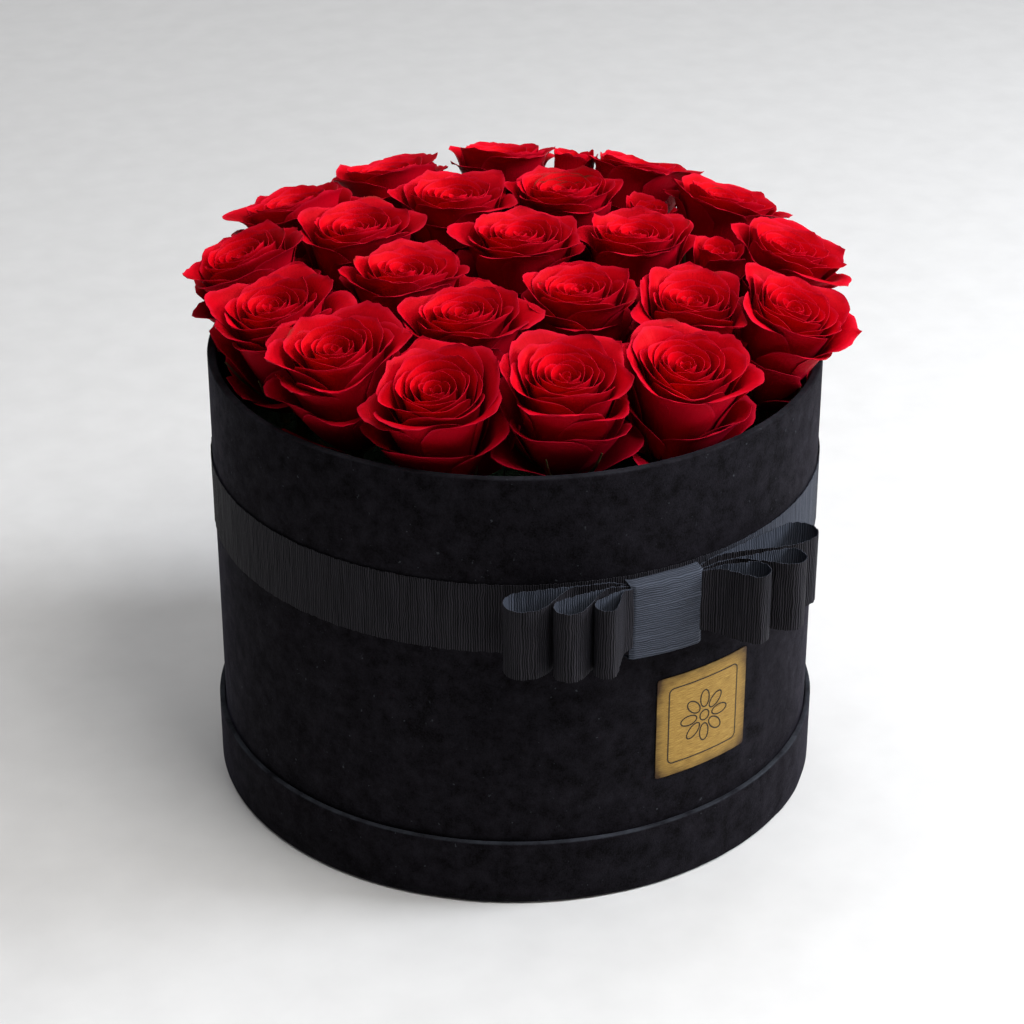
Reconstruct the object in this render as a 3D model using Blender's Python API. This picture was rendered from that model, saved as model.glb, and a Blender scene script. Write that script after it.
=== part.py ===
"""A round flower box: a velvet paper hat box that stands in its own upturned lid,
tied with a crinkled ribbon and a bow, and filled with roses pushed into wet foam.

Metres, +Z up. The origin is the centre of the lid panel's underside, where the box
stands. The knot of the bow faces -Y. An azimuth is counted in degrees from -Y
towards +X.
"""

from math import cos, degrees, hypot, pi, radians, sin, sqrt

import bmesh
import bpy
from mathutils import Matrix, Vector

MM = 0.001
GAP = 0.3 * MM              # air left between two pieces that touch
AROUND = 72                 # facets of every round casing
ROSE_SIDES = 10             # facets of a bloom or a stem

# Box: a board tube wrapped in velvet paper
BOX_RADIUS = 140 * MM
BOX_TOP = 212 * MM
PAPER = 0.4 * MM
BOARD = 2.4 * MM
TURN_IN = 20 * MM           # velvet paper turned over the rim and down inside

# Lid: a shallow board ring with a panel, upside down under the box
LID_RADIUS = 143 * MM
LID_TOP = 31.8 * MM
LID_BOARD = 1.2 * MM
LID_PANEL = 2 * MM
LID_TURN_IN = 14 * MM

# Plastic pan and the two layers of foam that stand in it
PAN_WALL = 0.8 * MM
PAN_TOP = 172 * MM
FOAM_LAYER = 79 * MM
FOAM_SPLIT = 0.6 * MM       # between the two halves of a layer
LOWER_SPLIT = -40           # azimuth of the lower layer's split
UPPER_SPLIT = 57            # azimuth of the upper layer's split

# Ribbon
RIBBON_WIDTH = 33 * MM
RIBBON_BAND = 0.6 * MM
RIBBON_LOOP = 0.8 * MM      # a crinkled strip is thicker than its cloth
BAND_BOTTOM = 129.3 * MM
LOOP_BOTTOM = 128.3 * MM
KNOT_WIDTH = 35 * MM
KNOT_BOTTOM = 124 * MM
KNOT_TOP = 160 * MM
KNOT_FRONT = 145.6 * MM     # distance from the box's axis
KNOT_BACK = 141.4 * MM
LOOP_ROOT = 18 * MM         # a loop starts this far from the knot's middle
LAYER_STEP = 1.25 * MM      # pitch of the ribbon layers stacked at the knot
FIRST_LAYER = 141.2 * MM
STRAND_STEPS = 5            # facets along each strand of a loop
NOSE_STEPS = 6              # facets round the nose of a loop

# Label
LABEL_WIDTH = 51 * MM
LABEL_BOTTOM = 55 * MM
LABEL_HEIGHT = 51 * MM
LABEL_AZIMUTH = 10.2

# Roses
STEM_RADIUS = 2.6 * MM
STEM_DEPTH = 46 * MM        # pushed into the foam
BLOOM_HEIGHT = 56 * MM      # from neck to face
FULL_BLOOM = 30 * MM        # radius of an open rose
BUD = 8.5 * MM              # radius of a rose squeezed shut by its neighbours
# A bloom's outline: share of its height above the neck, share of its radius
BLOOM_OUTLINE = ((0.06, 0.24), (0.2, 0.46), (0.45, 0.68), (0.72, 0.84), (0.92, 1.0), (1.0, 0.92))
LEAN = 15                   # degrees that a rose at LEAN_RADIUS leans outwards
LEAN_RADIUS = 120 * MM

# Bow loops: side, layer, and in millimetres how far the nose reaches from the knot's
# middle, how far out the back strand meets the nose, the nose's radius and the length
# over which the front strand draws in behind it
LOOPS = (
    ("bow_loop_left_inner", -1, 0, 73.4, 130.4, 8.4, 26),
    ("bow_loop_left_middle", -1, 1, 56, 144.6, 6.2, 21),
    ("bow_loop_left_outer", -1, 2, 39.7, 150.6, 5.5, 13),
    ("bow_loop_right_inner", 1, 0, 78.6, 128.4, 8.6, 45),
    ("bow_loop_right_middle", 1, 1, 62.6, 147.2, 7, 21),
    ("bow_loop_right_outer", 1, 2, 42.8, 150.6, 7.1, 15),
)

# Where the florist set each rose: azimuth in degrees, distance of its face's
# centre from the axis and height of the face in millimetres, and its full radius
ROSES = (
    ("rose_rim_01", -43, 116, 242, FULL_BLOOM),
    ("rose_rim_02", -15, 109, 246, FULL_BLOOM),
    ("rose_rim_03", 14, 114, 241, FULL_BLOOM),
    ("rose_rim_04", 48, 128, 244, FULL_BLOOM),
    ("rose_rim_05", 73, 128, 249, FULL_BLOOM),
    ("rose_rim_06", 101, 126, 251, FULL_BLOOM),
    ("rose_rim_07", 126, 125, 252, FULL_BLOOM),
    ("rose_rim_08", 156, 121, 253, FULL_BLOOM),
    ("rose_rim_09", -177, 124, 249, FULL_BLOOM),
    ("rose_rim_10", -150, 125, 248, FULL_BLOOM),
    ("rose_rim_11", -122, 124, 248, FULL_BLOOM),
    ("rose_rim_12", -96, 114, 247, FULL_BLOOM),
    ("rose_rim_13", -69, 113, 247, FULL_BLOOM),
    ("rose_mid_01", 177, 72, 255, FULL_BLOOM),
    ("rose_mid_02", 136, 78, 256, FULL_BLOOM),
    ("rose_mid_03", 88, 61, 254, FULL_BLOOM),
    ("rose_mid_04", 40, 86, 248, FULL_BLOOM),
    ("rose_mid_05", -139, 80, 254, FULL_BLOOM),
    ("rose_core_01", 145, 20, 256, FULL_BLOOM),
    ("rose_core_02", 16, 42, 251, FULL_BLOOM),
    ("rose_core_03", -50, 56, 249, FULL_BLOOM),
    ("rose_core_04", -103, 50, 252, FULL_BLOOM),
    ("rose_bud_01", 140, 121, 250, BUD),
    ("rose_bud_02", 109, 91, 250, BUD),
    ("rose_bud_03", 72, 94, 250, BUD),
)


def clear_scene():
    for obj in list(bpy.data.objects):
        bpy.data.objects.remove(obj, do_unlink=True)


def material(name, colour, roughness, metallic=0.0):
    found = bpy.data.materials.get(name)
    if found:
        return found
    made = bpy.data.materials.new(name)
    made.use_nodes = True
    shader = made.node_tree.nodes["Principled BSDF"]
    shader.inputs["Base Color"].default_value = (*colour, 1.0)
    shader.inputs["Roughness"].default_value = roughness
    shader.inputs["Metallic"].default_value = metallic
    made.diffuse_color = (*colour, 1.0)
    return made


def velvet():
    return material("velvet_paper", (0.012, 0.012, 0.014), 0.9)


def board():
    return material("grey_board", (0.32, 0.29, 0.25), 0.85)


def lining_paper():
    return material("lining_paper", (0.03, 0.03, 0.032), 0.8)


def pan_plastic():
    return material("pan_plastic", (0.02, 0.05, 0.03), 0.45)


def foam():
    return material("flower_foam", (0.05, 0.16, 0.05), 0.95)


def ribbon():
    return material("ribbon_cloth", (0.045, 0.05, 0.06), 0.7)


def gold():
    return material("gold_foil", (0.72, 0.49, 0.2), 0.35, 1.0)


def petals():
    return material("rose_petal", (0.55, 0.0, 0.012), 0.55)


def polar(azimuth, radius, height):
    """Point at an azimuth in degrees from -Y, a radius and a height."""
    turn = radians(azimuth)
    return Vector((radius * sin(turn), -radius * cos(turn), height))


def put(name, mesh, finish, parent, origin=Vector((0, 0, 0))):
    """Add a mesh given in world coordinates as an object whose origin is `origin`."""
    for face in mesh.faces:
        face.smooth = True
    data = bpy.data.meshes.new(name)
    bmesh.ops.recalc_face_normals(mesh, faces=mesh.faces)
    bmesh.ops.translate(mesh, verts=mesh.verts, vec=-origin)
    mesh.to_mesh(data)
    mesh.free()
    data.set_sharp_from_angle(angle=radians(35))
    data.materials.append(finish)
    obj = bpy.data.objects.new(name, data)
    bpy.context.collection.objects.link(obj)
    obj.parent = parent
    obj.location = origin
    return obj


def body(name):
    """Empty at the origin that carries every piece that moves together."""
    empty = bpy.data.objects.new(name, None)
    bpy.context.collection.objects.link(empty)
    return empty


def turned(profile):
    """Closed solid turned from a closed outline of (radius, height) points."""
    mesh = bmesh.new()
    rings = []
    for radius, height in profile:
        ring = [mesh.verts.new(polar(360 * i / AROUND, radius, height)) for i in range(AROUND)]
        rings.append(ring)
    for here, after in zip(rings, rings[1:] + rings[:1]):
        for i in range(AROUND):
            j = (i + 1) % AROUND
            mesh.faces.new((here[i], here[j], after[j], after[i]))
    return mesh


def disc(radius, bottom, top):
    mesh = bmesh.new()
    ring = [mesh.verts.new(polar(360 * i / AROUND, radius, bottom)) for i in range(AROUND)]
    face = mesh.faces.new(ring)
    lifted = bmesh.ops.extrude_face_region(mesh, geom=[face])
    verts = [v for v in lifted["geom"] if isinstance(v, bmesh.types.BMVert)]
    bmesh.ops.translate(mesh, verts=verts, vec=(0, 0, top - bottom))
    return mesh


def tube(outer, inner, bottom, top):
    return turned(((outer, bottom), (outer, top), (inner, top), (inner, bottom)))


def wrapped_rim(outer, inner, bottom, top, inside_bottom):
    """Paper skin that runs up the outside, over the rim and down the inside."""
    roll = 0.35 * PAPER
    return turned((
        (outer, bottom),
        (outer, top - roll),
        (outer - roll, top),
        (inner + roll, top),
        (inner, top - roll),
        (inner, inside_bottom),
        (inner + PAPER, inside_bottom),
        (inner + PAPER, top - PAPER),
        (outer - PAPER, top - PAPER),
        (outer - PAPER, bottom),
    ))


def add_lid(parent):
    wall_outer = LID_RADIUS - PAPER - GAP
    wall_inner = wall_outer - LID_BOARD
    wall_top = LID_TOP - PAPER - GAP
    put("lid_panel", disc(wall_inner - GAP, 0, LID_PANEL), board(), parent)
    put("lid_wall", tube(wall_outer, wall_inner, 0, wall_top), board(), parent)
    cover = wrapped_rim(LID_RADIUS, wall_inner - GAP - PAPER, 0.5 * MM, LID_TOP, LID_TOP - LID_TURN_IN)
    put("lid_cover", cover, velvet(), parent)


def box_levels():
    """Radii and heights inside the box, from the cover inwards and from the lid up."""
    wall_outer = BOX_RADIUS - PAPER - GAP
    wall_inner = wall_outer - BOARD
    bottom = LID_PANEL + GAP
    floor_top = bottom + BOARD
    lining_inner = wall_inner - GAP - PAPER
    return wall_outer, wall_inner, bottom, floor_top, lining_inner


def add_box(parent):
    wall_outer, wall_inner, bottom, floor_top, lining_inner = box_levels()
    put("box_floor", disc(wall_inner - GAP, bottom, floor_top), board(), parent)
    put("box_wall", tube(wall_outer, wall_inner, bottom, BOX_TOP - PAPER - GAP), board(), parent)
    turn_bottom = BOX_TOP - TURN_IN
    cover = wrapped_rim(BOX_RADIUS, lining_inner, bottom, BOX_TOP, turn_bottom)
    put("box_cover", cover, velvet(), parent)
    lining = tube(lining_inner + PAPER, lining_inner, floor_top + GAP, turn_bottom - GAP)
    put("box_lining", lining, lining_paper(), parent)


def pan_levels():
    floor_top, lining_inner = box_levels()[3:]
    outer = lining_inner - 2 * GAP
    inner = outer - PAN_WALL
    bottom = floor_top + GAP
    return outer, inner, bottom, bottom + PAN_WALL


def add_pan(parent):
    outer, inner, bottom, floor_top = pan_levels()
    mesh = bmesh.new()
    profile = ((outer, bottom), (outer, PAN_TOP), (inner, PAN_TOP), (inner, floor_top))
    rings = []
    for radius, height in profile:
        ring = [mesh.verts.new(polar(360 * i / AROUND, radius, height)) for i in range(AROUND)]
        rings.append(ring)
    for here, after in zip(rings, rings[1:]):
        for i in range(AROUND):
            j = (i + 1) % AROUND
            mesh.faces.new((here[i], here[j], after[j], after[i]))
    mesh.faces.new(rings[0][::-1])
    mesh.faces.new(rings[-1])
    put("liner_pan", mesh, pan_plastic(), parent)


def half_disc(radius, bottom, top, azimuth):
    """Half of a disc on the side that faces `azimuth`, cut straight across the axis."""
    steps = AROUND // 2
    side = 0.5 * FOAM_SPLIT
    reach = degrees(side / radius)
    mesh = bmesh.new()
    ring = []
    for i in range(steps + 1):
        turn = azimuth - 90 + reach + (180 - 2 * reach) * i / steps
        ring.append(mesh.verts.new(polar(turn, radius, bottom)))
    face = mesh.faces.new(ring)
    lifted = bmesh.ops.extrude_face_region(mesh, geom=[face])
    verts = [v for v in lifted["geom"] if isinstance(v, bmesh.types.BMVert)]
    bmesh.ops.translate(mesh, verts=verts, vec=(0, 0, top - bottom))
    return mesh


def foam_levels():
    inner, floor_top = pan_levels()[1], pan_levels()[3]
    lower = floor_top + GAP
    middle = lower + FOAM_LAYER
    upper = middle + GAP
    return inner - GAP, lower, middle, upper, upper + FOAM_LAYER


def placed(index):
    _, azimuth, radius, height, _ = ROSES[index]
    return azimuth, radius * MM, height * MM


def rose_frame(azimuth, radius, height):
    """Face centre, outward leaning axis and neck of a rose, all in metres."""
    lean = radians(LEAN * (radius / LEAN_RADIUS) ** 4)
    axis = polar(azimuth, sin(lean), 0) + Vector((0, 0, cos(lean)))
    face = polar(azimuth, radius, height)
    neck = face - BLOOM_HEIGHT * axis
    return face, axis, neck


def stem_cutter(parent):
    """All the stem holes of the upper foam, as one hidden cutter."""
    mesh = bmesh.new()
    top = foam_levels()[4]
    for index in range(len(ROSES)):
        neck = rose_frame(*placed(index))[2]
        low = top - STEM_DEPTH - GAP
        place = Matrix.Translation((neck.x, neck.y, 0.5 * (low + top + MM)))
        wide = STEM_RADIUS + GAP
        bmesh.ops.create_cone(mesh, cap_ends=True, segments=ROSE_SIDES, radius1=wide, radius2=wide,
                              depth=top + MM - low, matrix=place)
    cutter = put("stem_cutter", mesh, foam(), parent)
    cutter.hide_render = True
    cutter.display_type = "WIRE"
    return cutter


def add_foam(parent):
    radius, lower, middle, upper, top = foam_levels()
    cutter = stem_cutter(parent)
    for name, turn in (("foam_lower_left", LOWER_SPLIT), ("foam_lower_right", LOWER_SPLIT + 180)):
        put(name, half_disc(radius, lower, middle, turn), foam(), parent)
    for name, turn in (("foam_upper_front", UPPER_SPLIT), ("foam_upper_back", UPPER_SPLIT + 180)):
        block = put(name, half_disc(radius, upper, top, turn), foam(), parent)
        holes = block.modifiers.new("stem_holes", "BOOLEAN")
        holes.operation = "DIFFERENCE"
        holes.solver = "EXACT"
        holes.object = cutter


def add_band(parent):
    inner = BOX_RADIUS + GAP
    band = tube(inner + RIBBON_BAND, inner, BAND_BOTTOM, BAND_BOTTOM + RIBBON_WIDTH)
    put("ribbon_band", band, ribbon(), parent)


def curved_block(width, inner, outer, bottom, top, azimuth, steps):
    """Block whose front and back follow circles about the box's axis."""
    mesh = bmesh.new()
    half = degrees(0.5 * width / inner)
    rings = []
    for i in range(steps + 1):
        turn = azimuth - half + 2 * half * i / steps
        corners = ((inner, bottom), (outer, bottom), (outer, top), (inner, top))
        rings.append([mesh.verts.new(polar(turn, r, z)) for r, z in corners])
    for here, after in zip(rings, rings[1:]):
        for i in range(4):
            j = (i + 1) % 4
            mesh.faces.new((here[i], here[j], after[j], after[i]))
    mesh.faces.new(rings[0][::-1])
    mesh.faces.new(rings[-1])
    return mesh


def add_knot(parent):
    block = curved_block(KNOT_WIDTH, KNOT_BACK, KNOT_FRONT, KNOT_BOTTOM, KNOT_TOP, 0, 6)
    knot = put("bow_knot", block, ribbon(), parent)
    edge = knot.modifiers.new("soft_edges", "BEVEL")
    edge.width = 1.2 * MM
    edge.segments = 1
    edge.limit_method = "ANGLE"


def add_label(parent):
    inner = BOX_RADIUS + GAP
    top = LABEL_BOTTOM + LABEL_HEIGHT
    plate = curved_block(LABEL_WIDTH, inner, inner + PAPER, LABEL_BOTTOM, top, LABEL_AZIMUTH, 8)
    put("label_plate", plate, gold(), parent)


def loop_path(side, layer, reach, back, nose, draw_in):
    """Plan of a bow loop as (across, outwards) points, from its back root round the nose."""
    root = FIRST_LAYER + 2 * layer * LAYER_STEP
    centre = reach - nose
    least = BOX_RADIUS + 2 * GAP + RIBBON_BAND + RIBBON_LOOP

    def behind(across):
        straight = root + (back - root) * (across - LOOP_ROOT) / (centre - LOOP_ROOT)
        return max(straight, sqrt(least ** 2 - across ** 2))

    def before(across):
        share = min(1, max(0, (across - centre + draw_in) / draw_in))
        swell = share * share * (3 - 2 * share)
        return behind(across) + LAYER_STEP + (2 * nose - LAYER_STEP) * swell

    path = []
    for i in range(STRAND_STEPS + 1):
        across = LOOP_ROOT + (centre - LOOP_ROOT) * i / STRAND_STEPS
        path.append((across, behind(across)))
    for i in range(1, NOSE_STEPS):
        turn = pi * i / NOSE_STEPS
        path.append((centre + nose * sin(turn), behind(centre) + nose * (1 - cos(turn))))
    for i in range(STRAND_STEPS + 1):
        across = centre - (centre - LOOP_ROOT) * i / STRAND_STEPS
        path.append((across, before(across)))
    return [Vector((side * across, outwards)) for across, outwards in path]


def strip(path, thickness, bottom, top):
    """Upright strip of even thickness along a plan path of (across, outwards) points."""
    mesh = bmesh.new()
    rings = []
    for i, point in enumerate(path):
        ahead = path[min(i + 1, len(path) - 1)] - path[max(i - 1, 0)]
        normal = Vector((-ahead.y, ahead.x)).normalized() * (0.5 * thickness)
        near = point - normal
        far = point + normal
        corners = ((near, bottom), (far, bottom), (far, top), (near, top))
        rings.append([mesh.verts.new((p.x, -p.y, z)) for p, z in corners])
    for here, after in zip(rings, rings[1:]):
        for i in range(4):
            j = (i + 1) % 4
            mesh.faces.new((here[i], here[j], after[j], after[i]))
    mesh.faces.new(rings[0][::-1])
    mesh.faces.new(rings[-1])
    return mesh


def add_bow(parent):
    add_knot(parent)
    for name, side, layer, *sizes in LOOPS:
        path = loop_path(side, layer, *(size * MM for size in sizes))
        loop = strip(path, RIBBON_LOOP, LOOP_BOTTOM, LOOP_BOTTOM + RIBBON_WIDTH)
        put(name, loop, ribbon(), parent)


def room_to_next(index, other):
    """Share of two blooms' full radii that fits between their axes at every height."""
    _, axis_a, neck_a = rose_frame(*placed(index))
    _, axis_b, neck_b = rose_frame(*placed(other))
    fulls = ROSES[index][4] + ROSES[other][4]
    shares = []
    for height, wide in BLOOM_OUTLINE:
        apart = neck_a + height * BLOOM_HEIGHT * axis_a - neck_b - height * BLOOM_HEIGHT * axis_b
        shares.append((hypot(apart.x, apart.y) - 2 * GAP) / (fulls * wide))
    return min(shares)


def room_in_rim(index):
    """Share of a bloom's full radius that stays inside the lining below the rim."""
    _, axis, neck = rose_frame(*placed(index))
    inside = box_levels()[4] - 2 * GAP
    shares = [1.0]
    for height, wide in BLOOM_OUTLINE:
        centre = neck + height * BLOOM_HEIGHT * axis
        side = ROSES[index][4] * wide
        if centre.z - side * hypot(axis.x, axis.y) < BOX_TOP + GAP:
            shares.append((inside - hypot(centre.x, centre.y)) / (side * axis.z))
    return min(shares)


def fitted_radius(index):
    """Radius that a bloom opens to before it meets the next bloom or the rim."""
    others = [i for i in range(len(ROSES)) if i != index]
    room = min([room_to_next(index, other) for other in others] + [room_in_rim(index)])
    return ROSES[index][4] * min(1.0, room)


def add_rose(index, parent):
    name = ROSES[index][0]
    face, axis, neck = rose_frame(*placed(index))
    foot = Vector((neck.x, neck.y, foam_levels()[4] - STEM_DEPTH))
    shoulder = Vector((neck.x, neck.y, neck.z - 4 * MM))
    upright = Vector((0, 0, 1))
    rings = [(foot, upright, STEM_RADIUS), (shoulder, upright, STEM_RADIUS)]
    full = fitted_radius(index)
    rings.append((neck, axis, 1.3 * STEM_RADIUS))
    for share, wide in BLOOM_OUTLINE:
        rings.append((neck + share * BLOOM_HEIGHT * axis, axis, wide * full))
    mesh = bmesh.new()
    made = []
    for centre, along, wide in rings:
        turn = upright.rotation_difference(along)
        ring = []
        for i in range(ROSE_SIDES):
            step = 2 * pi * i / ROSE_SIDES
            ring.append(mesh.verts.new(centre + turn @ Vector((wide * cos(step), wide * sin(step), 0))))
        made.append(ring)
    for here, after in zip(made, made[1:]):
        for i in range(ROSE_SIDES):
            j = (i + 1) % ROSE_SIDES
            mesh.faces.new((here[i], here[j], after[j], after[i]))
    mesh.faces.new(made[0][::-1])
    middle = mesh.verts.new(face + 1.5 * MM * axis)
    for i in range(ROSE_SIDES):
        mesh.faces.new((made[-1][i], made[-1][(i + 1) % ROSE_SIDES], middle))
    put(name, mesh, petals(), parent, foot)


def main():
    clear_scene()
    lid = body("lid")
    box = body("box")
    box.parent = lid
    insert = body("insert")
    insert.parent = box
    add_lid(lid)
    add_box(box)
    add_band(box)
    add_bow(box)
    add_label(box)
    add_pan(insert)
    add_foam(insert)
    for index in range(len(ROSES)):
        add_rose(index, insert)


main()
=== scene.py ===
"""Looks of the round flower box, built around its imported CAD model, in metres.

The box is black velvet paper over board and stands in its own upturned lid. A crinkled
ribbon with a bow goes round it, and roses stand in the foam inside. An azimuth is
counted in degrees from -Y, where the bow's knot is, towards +X.
"""
from math import atan2, cos, hypot, pi, radians, sin

import bpy
import numpy as np
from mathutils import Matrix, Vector


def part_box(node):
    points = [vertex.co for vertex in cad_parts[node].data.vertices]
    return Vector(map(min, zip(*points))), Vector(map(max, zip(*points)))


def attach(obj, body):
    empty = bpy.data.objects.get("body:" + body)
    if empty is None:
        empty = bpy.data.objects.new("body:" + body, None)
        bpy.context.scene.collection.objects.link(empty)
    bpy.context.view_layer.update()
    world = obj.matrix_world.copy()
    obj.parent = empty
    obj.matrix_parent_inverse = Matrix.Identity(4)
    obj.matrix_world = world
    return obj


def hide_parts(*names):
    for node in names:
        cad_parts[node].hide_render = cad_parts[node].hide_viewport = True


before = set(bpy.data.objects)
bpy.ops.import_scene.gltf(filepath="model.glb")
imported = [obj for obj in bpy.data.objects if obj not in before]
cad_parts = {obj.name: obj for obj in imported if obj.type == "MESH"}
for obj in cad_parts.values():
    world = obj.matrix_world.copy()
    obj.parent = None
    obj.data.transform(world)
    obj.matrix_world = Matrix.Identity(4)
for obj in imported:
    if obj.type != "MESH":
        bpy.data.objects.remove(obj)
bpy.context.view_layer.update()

MM = 0.001


# ---------------------------------------------------------------- numbers and curves

def lattice(ix, iy, seed):
    """Repeatable random value from -1 to 1 at whole-number places."""
    h = (ix.astype(np.int64) * 374761393 + iy.astype(np.int64) * 668265263 + seed * 69069) & 0xFFFFFFFF
    h = ((h ^ (h >> 13)) * 1274126177) & 0xFFFFFFFF
    return ((h ^ (h >> 16)) & 0xFFFF) / 32767.5 - 1.0


def noise2(x, y, seed=0):
    """Smooth noise from -1 to 1 over two coordinates."""
    x, y = np.broadcast_arrays(np.asarray(x, float), np.asarray(y, float))
    ix, iy = np.floor(x), np.floor(y)
    fx, fy = x - ix, y - iy
    fx = fx * fx * (3 - 2 * fx)
    fy = fy * fy * (3 - 2 * fy)
    near = lattice(ix, iy, seed) * (1 - fx) + lattice(ix + 1, iy, seed) * fx
    far = lattice(ix, iy + 1, seed) * (1 - fx) + lattice(ix + 1, iy + 1, seed) * fx
    return near * (1 - fy) + far * fy


def smooth(low, high, x):
    """Soft step from 0 at `low` to 1 at `high`."""
    t = np.clip((x - low) / (high - low), 0, 1)
    return t * t * (3 - 2 * t)


def polar(azimuth, radius, height):
    """Points at azimuths in degrees from -Y, radii and heights."""
    turn = np.radians(azimuth)
    x, y, z = np.broadcast_arrays(radius * np.sin(turn), -radius * np.cos(turn), height)
    return np.stack([x, y, z], -1)


def bezier(p0, p1, p2, p3, t):
    """Cubic curve through p0 and p3."""
    u = 1 - t
    return u ** 3 * p0 + 3 * u * u * t * p1 + 3 * u * t * t * p2 + t ** 3 * p3


def evenly(points, step):
    """A polyline taken again at an even step."""
    gaps = np.linalg.norm(np.diff(points, axis=0), axis=1)
    along = np.concatenate([[0], np.cumsum(gaps)])
    wanted = np.linspace(0, along[-1], max(2, int(round(along[-1] / step)) + 1))
    return np.stack([np.interp(wanted, along, points[:, k]) for k in range(points.shape[1])], -1)


# ---------------------------------------------------------------- meshes

def grid_quads(m, n, wrap=False):
    """Faces between the points of an m by n grid; it may close on itself along m."""
    i = np.arange(m if wrap else m - 1)
    j = np.arange(n - 1)
    a = (i[:, None] * n + j).ravel()
    b = (((i + 1) % m)[:, None] * n + j).ravel()
    return np.stack([a, b, b + 1, a + 1], 1)


def shell(grid, thickness, wrap=False):
    """Closed thin sheet round a grid of points: (points, quads). Thickness may vary."""
    m, n = grid.shape[:2]
    if wrap:
        along = np.roll(grid, -1, 0) - np.roll(grid, 1, 0)
    else:
        along = np.gradient(grid, axis=0)
    normal = np.cross(along, np.gradient(grid, axis=1))
    normal /= np.maximum(np.linalg.norm(normal, axis=2, keepdims=True), 1e-12)
    half = 0.5 * np.broadcast_to(np.asarray(thickness, float), (m, n))[..., None] * normal
    points = np.concatenate([(grid + half).reshape(-1, 3), (grid - half).reshape(-1, 3)])
    top = grid_quads(m, n, wrap)
    count = m * n
    parts = [top, top[:, ::-1] + count]
    i = np.arange(m if wrap else m - 1)
    a, b = i * n, ((i + 1) % m) * n
    parts.append(np.stack([b, a, a + count, b + count], 1))
    a, b = a + n - 1, b + n - 1
    parts.append(np.stack([a, b, b + count, a + count], 1))
    if not wrap:
        j = np.arange(n - 1)
        parts.append(np.stack([j, j + 1, j + 1 + count, j + count], 1))
        j = j + (m - 1) * n
        parts.append(np.stack([j + 1, j, j + count, j + 1 + count], 1))
    return points, np.concatenate(parts)


def mesh_piece(name, points, quads, finish, body, replaces=(), vectors=None):
    """Add a smooth-shaded mesh piece that rides on a body. `vectors` are named point attributes."""
    mesh = bpy.data.meshes.new(name)
    mesh.vertices.add(len(points))
    mesh.vertices.foreach_set("co", np.asarray(points, np.float32).ravel())
    mesh.loops.add(quads.size)
    mesh.loops.foreach_set("vertex_index", quads.astype(np.int32).ravel())
    mesh.polygons.add(len(quads))
    mesh.polygons.foreach_set("loop_start", np.arange(0, quads.size, 4, dtype=np.int32))
    mesh.update(calc_edges=True)
    mesh.shade_smooth()
    mesh.set_sharp_from_angle(angle=radians(50))
    for key, values in (vectors or {}).items():
        made = mesh.attributes.new(key, "FLOAT_VECTOR", "POINT")
        made.data.foreach_set("vector", np.asarray(values, np.float32).ravel())
    mesh.materials.append(finish)
    obj = bpy.data.objects.new(name, mesh)
    bpy.context.scene.collection.objects.link(obj)
    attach(obj, body)
    if replaces:
        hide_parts(*replaces)
    return obj


def filleted(corners, steps=5):
    """Closed outline from (radius, height, fillet) corners, with round corners."""
    out = []
    count = len(corners)
    for k, (r, z, fillet) in enumerate(corners):
        here = np.array([r, z])
        if fillet <= 0:
            out.append(here)
            continue
        before = np.array(corners[k - 1][:2]) - here
        after = np.array(corners[(k + 1) % count][:2]) - here
        start = here + before / np.linalg.norm(before) * fillet
        end = here + after / np.linalg.norm(after) * fillet
        for t in np.linspace(0, 1, steps + 1):
            out.append((1 - t) ** 2 * start + 2 * t * (1 - t) * here + t * t * end)
    return np.array(out)


def fine_rows(outline, longest):
    """The same closed outline with its long straight runs cut into shorter ones."""
    out = []
    for here, after in zip(outline, np.roll(outline, -1, 0)):
        cuts = max(1, int(np.ceil(np.linalg.norm(after - here) / longest)))
        out.extend(here + (after - here) * c / cuts for c in range(cuts))
    return np.array(out)


def turned(outline, segments, wobble=None):
    """Solid turned from a closed (radius, height) outline that runs up its outer side."""
    azimuth = 360 * np.arange(segments) / segments
    r = np.broadcast_to(outline[:, 0], (segments, len(outline)))
    z = np.broadcast_to(outline[:, 1], (segments, len(outline)))
    if wobble is not None:
        r = r + wobble(azimuth[:, None], z)
    points = polar(azimuth[:, None], r, z).reshape(-1, 3)
    n = len(outline)
    i, j = np.arange(segments)[:, None], np.arange(n)
    a = (i * n + j).ravel()
    b = (((i + 1) % segments) * n + j).ravel()
    c = (((i + 1) % segments) * n + (j + 1) % n).ravel()
    d = (i * n + (j + 1) % n).ravel()
    return points, np.stack([a, b, c, d], 1)


# ---------------------------------------------------------------- materials

def new_material(name):
    made = bpy.data.materials.new(name)
    made.use_nodes = True
    return made, made.node_tree, made.node_tree.nodes["Principled BSDF"]


def node(tree, kind, **settings):
    """New shader node; settings are sockets where it has them, and else properties."""
    made = tree.nodes.new(kind)
    for key, value in settings.items():
        if key in made.inputs:
            made.inputs[key].default_value = value
        else:
            setattr(made, key, value)
    return made


def noise_node(tree, vector, scale, detail=3.0, roughness=0.55):
    made = node(tree, "ShaderNodeTexNoise")
    made.inputs["Scale"].default_value = scale
    made.inputs["Detail"].default_value = detail
    made.inputs["Roughness"].default_value = roughness
    tree.links.new(vector, made.inputs["Vector"])
    return made.outputs["Fac"]


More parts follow.
